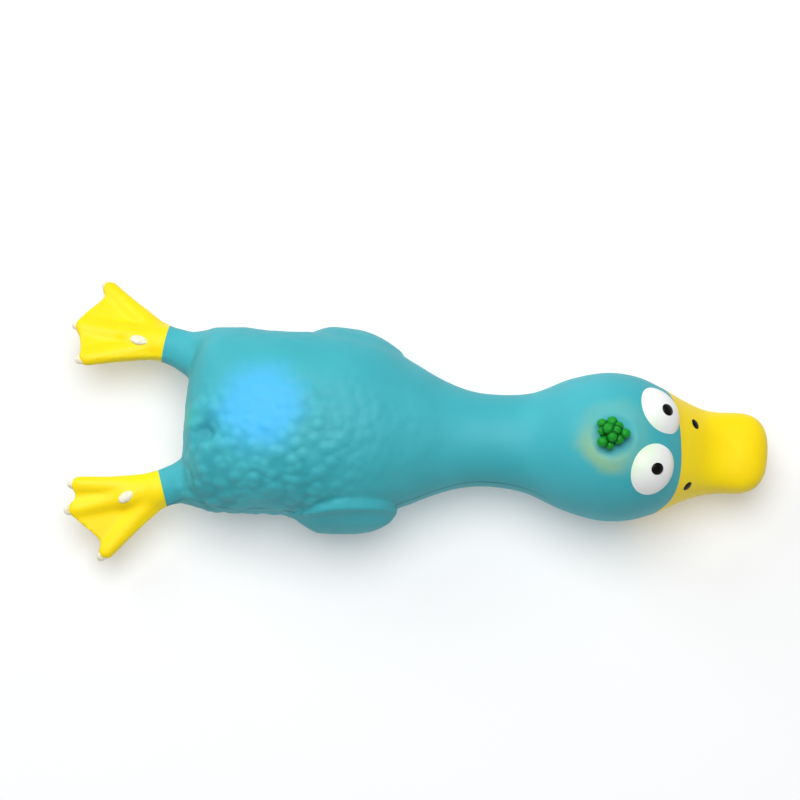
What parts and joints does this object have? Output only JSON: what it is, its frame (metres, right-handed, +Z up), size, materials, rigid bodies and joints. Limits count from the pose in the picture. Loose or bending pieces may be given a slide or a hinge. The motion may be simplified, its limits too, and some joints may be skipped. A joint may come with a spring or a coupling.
{
  "type": "squeaky latex toy duck",
  "caption": "Hollow latex squeeze-toy duck lying on its belly, with a bending neck and legs, a back that squeezes in, and a reed squeaker in its belly.",
  "frame": {"origin": "on the flat of the belly that the toy lies on, under the breast, in the plane of symmetry of the body", "axes": "+X from the feet to the bill, +Y to the duck's left side, +Z up from the belly through the back"},
  "size_m": [0.2448, 0.101, 0.055],
  "materials": {
    "latex_teal": "satin",
    "latex_yellow": "satin",
    "paint_white": "satin",
    "paint_black": "gloss",
    "latex_green": "satin",
    "squeaker_plastic": "gloss",
    "reed_film": "gloss"
  },
  "bodies": {
    "trunk": {"trunk_skin": "latex_teal", "left_wing": "latex_teal", "right_wing": "latex_teal", "squeaker_cup": "squeaker_plastic", "squeaker_lid": "squeaker_plastic", "reed_holder_front": "squeaker_plastic", "reed_holder_rear": "squeaker_plastic"},
    "back": {"back_skin": "latex_teal"},
    "neck": {"neck_skin": "latex_teal"},
    "head": {"head_skin": "latex_teal", "bill": "latex_yellow", "crest": "latex_green", "left_eye": "paint_white", "right_eye": "paint_white", "left_pupil": "paint_black", "right_pupil": "paint_black", "left_nostril": "paint_black", "right_nostril": "paint_black"},
    "left_leg": {"left_leg_skin": "latex_teal", "left_foot": "latex_yellow", "left_spur": "paint_white", "left_inner_claw": "paint_white", "left_middle_claw": "paint_white", "left_outer_claw": "paint_white"},
    "right_leg": {"right_leg_skin": "latex_teal", "right_foot": "latex_yellow", "right_spur": "paint_white", "right_inner_claw": "paint_white", "right_middle_claw": "paint_white", "right_outer_claw": "paint_white"},
    "reed": {"reed": "reed_film"}
  },
  "joints": [
    {"name": "back_squeeze", "type": "slide", "parent": "trunk", "child": "back", "axis": [0, 0, -1], "range_m": [0, 0.01], "stiffness_N_per_m": 1500, "deforming": ["back_skin"]},
    {"name": "neck_nod", "type": "hinge", "parent": "trunk", "child": "neck", "pos_m": [0.038, 0, 0.021], "axis": [0, 1, 0], "range_deg": [-35, 30], "stiffness_Nm_per_rad": 0.9, "deforming": ["neck_skin"]},
    {"name": "neck_swing", "type": "hinge", "parent": "neck", "child": "head", "pos_m": [0.068, 0, 0.021], "axis": [0, 0, 1], "range_deg": [-30, 30], "stiffness_Nm_per_rad": 0.9, "deforming": ["neck_skin"]},
    {"name": "left_leg_flap", "type": "hinge", "parent": "trunk", "child": "left_leg", "pos_m": [-0.0645, 0.0237, 0.0182], "axis": [0, 1, 0], "range_deg": [-30, 35], "stiffness_Nm_per_rad": 0.06, "deforming": ["left_leg_skin"]},
    {"name": "right_leg_flap", "type": "hinge", "parent": "trunk", "child": "right_leg", "pos_m": [-0.0645, -0.0237, 0.0182], "axis": [0, 1, 0], "range_deg": [-30, 35], "stiffness_Nm_per_rad": 0.06, "deforming": ["right_leg_skin"]},
    {"name": "reed_flutter", "type": "hinge", "parent": "trunk", "child": "reed", "pos_m": [-0.028, 0, 0.0035], "axis": [0, 1, 0], "range_deg": [-6, 6], "stiffness_Nm_per_rad": 0.0005}
  ]
}
